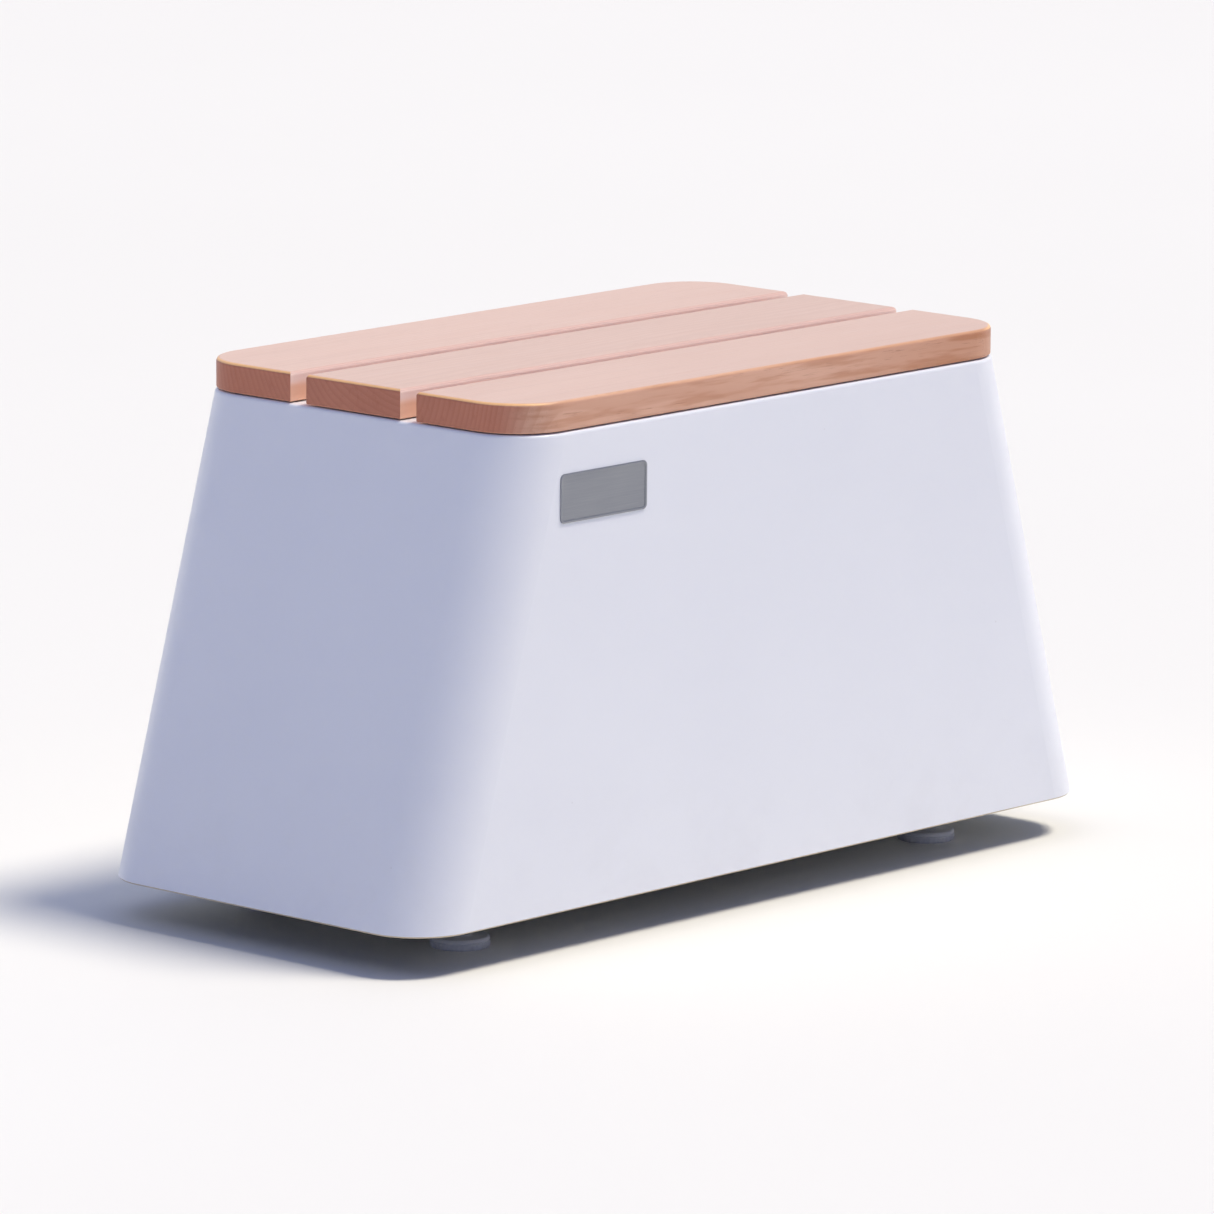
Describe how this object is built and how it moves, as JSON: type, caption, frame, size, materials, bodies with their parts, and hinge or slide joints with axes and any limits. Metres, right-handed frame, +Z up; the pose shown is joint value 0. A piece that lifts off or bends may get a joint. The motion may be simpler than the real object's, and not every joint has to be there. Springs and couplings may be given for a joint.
{
  "type": "spa step",
  "caption": "Free-standing spa step: a moulded trapezoid shell with rounded corners over a welded tube frame, topped by a slatted wood tread, on screw-in levelling feet.",
  "frame": {"origin": "on the floor, under the middle of the step, with the levelling feet at their middle setting", "axes": "+X along the tread to the right as seen from the front, +Y from the front to the back, where the spa stands, +Z up"},
  "size_m": [0.7534, 0.333, 0.404],
  "materials": {
    "shell_gelcoat": "satin white gelcoat on glass-fibre laminate",
    "tread_wood": "planed and oiled, straight grain along the slats",
    "strip_rubber": "matt EPDM",
    "frame_steel": "hot-dip galvanised",
    "stainless": "plain stainless",
    "zinc_steel": "bright zinc plated",
    "bracket_metal": "mill finish",
    "plug_plastic": "matt polyethylene",
    "pad_nylon": "pale grey nylon",
    "plate_metal": "satin anodised, blank"
  },
  "bodies": {
    "step": {"body_shell": "shell_gelcoat", "slat_front": "tread_wood", "slat_middle": "tread_wood", "slat_rear": "tread_wood", "slat_strips": "strip_rubber", "tread_washers": "stainless", "tread_screws": "stainless", "frame_top_rail_front": "frame_steel", "frame_base_rail_front": "frame_steel", "frame_top_rail_rear": "frame_steel", "frame_base_rail_rear": "frame_steel", "frame_end_rail_left": "frame_steel", "frame_cross_rail_left": "frame_steel", "frame_end_rail_right": "frame_steel", "frame_cross_rail_right": "frame_steel", "frame_leg_front_left": "frame_steel", "frame_leg_front_right": "frame_steel", "frame_leg_rear_left": "frame_steel", "frame_leg_rear_right": "frame_steel", "tread_bar_left": "frame_steel", "tread_bar_centre": "frame_steel", "tread_bar_right": "frame_steel", "top_rail_plugs": "plug_plastic", "base_rail_plugs": "plug_plastic", "shell_bracket_front_left": "bracket_metal", "shell_bracket_front_right": "bracket_metal", "shell_bracket_rear_left": "bracket_metal", "shell_bracket_rear_right": "bracket_metal", "bracket_rivet_nuts": "stainless", "bracket_screws": "stainless", "foot_insert_front_left": "zinc_steel", "foot_nut_front_left": "zinc_steel", "foot_insert_front_right": "zinc_steel", "foot_nut_front_right": "zinc_steel", "foot_insert_rear_left": "zinc_steel", "foot_nut_rear_left": "zinc_steel", "foot_insert_rear_right": "zinc_steel", "foot_nut_rear_right": "zinc_steel", "name_plate": "plate_metal"},
    "pad_front_left": {"foot_pad_front_left": "pad_nylon"},
    "stud_front_left": {"foot_stud_front_left": "zinc_steel"},
    "pad_front_right": {"foot_pad_front_right": "pad_nylon"},
    "stud_front_right": {"foot_stud_front_right": "zinc_steel"},
    "pad_rear_left": {"foot_pad_rear_left": "pad_nylon"},
    "stud_rear_left": {"foot_stud_rear_left": "zinc_steel"},
    "pad_rear_right": {"foot_pad_rear_right": "pad_nylon"},
    "stud_rear_right": {"foot_stud_rear_right": "zinc_steel"}
  },
  "joints": [
    {"name": "foot_travel_front_left", "type": "slide", "parent": "step", "child": "pad_front_left", "axis": [0, 0, 1], "range_m": [-0.01, 0.01]},
    {"name": "foot_turn_front_left", "type": "hinge", "parent": "pad_front_left", "child": "stud_front_left", "pos_m": [-0.26, -0.095, 0], "axis": [0, 0, 1], "range_deg": [-2400.1, 2400.1]},
    {"name": "foot_travel_front_right", "type": "slide", "parent": "step", "child": "pad_front_right", "axis": [0, 0, 1], "range_m": [-0.01, 0.01]},
    {"name": "foot_turn_front_right", "type": "hinge", "parent": "pad_front_right", "child": "stud_front_right", "pos_m": [0.26, -0.095, 0], "axis": [0, 0, 1], "range_deg": [-2400.1, 2400.1]},
    {"name": "foot_travel_rear_left", "type": "slide", "parent": "step", "child": "pad_rear_left", "axis": [0, 0, 1], "range_m": [-0.01, 0.01]},
    {"name": "foot_turn_rear_left", "type": "hinge", "parent": "pad_rear_left", "child": "stud_rear_left", "pos_m": [-0.26, 0.095, 0], "axis": [0, 0, 1], "range_deg": [-2400.1, 2400.1]},
    {"name": "foot_travel_rear_right", "type": "slide", "parent": "step", "child": "pad_rear_right", "axis": [0, 0, 1], "range_m": [-0.01, 0.01]},
    {"name": "foot_turn_rear_right", "type": "hinge", "parent": "pad_rear_right", "child": "stud_rear_right", "pos_m": [0.26, 0.095, 0], "axis": [0, 0, 1], "range_deg": [-2400.1, 2400.1]}
  ],
  "couplings": [
    {"joint": "foot_turn_front_left", "follows": "foot_travel_front_left", "rad_per_m": 4188.8},
    {"joint": "foot_turn_front_right", "follows": "foot_travel_front_right", "rad_per_m": 4188.8},
    {"joint": "foot_turn_rear_left", "follows": "foot_travel_rear_left", "rad_per_m": 4188.8},
    {"joint": "foot_turn_rear_right", "follows": "foot_travel_rear_right", "rad_per_m": 4188.8}
  ]
}
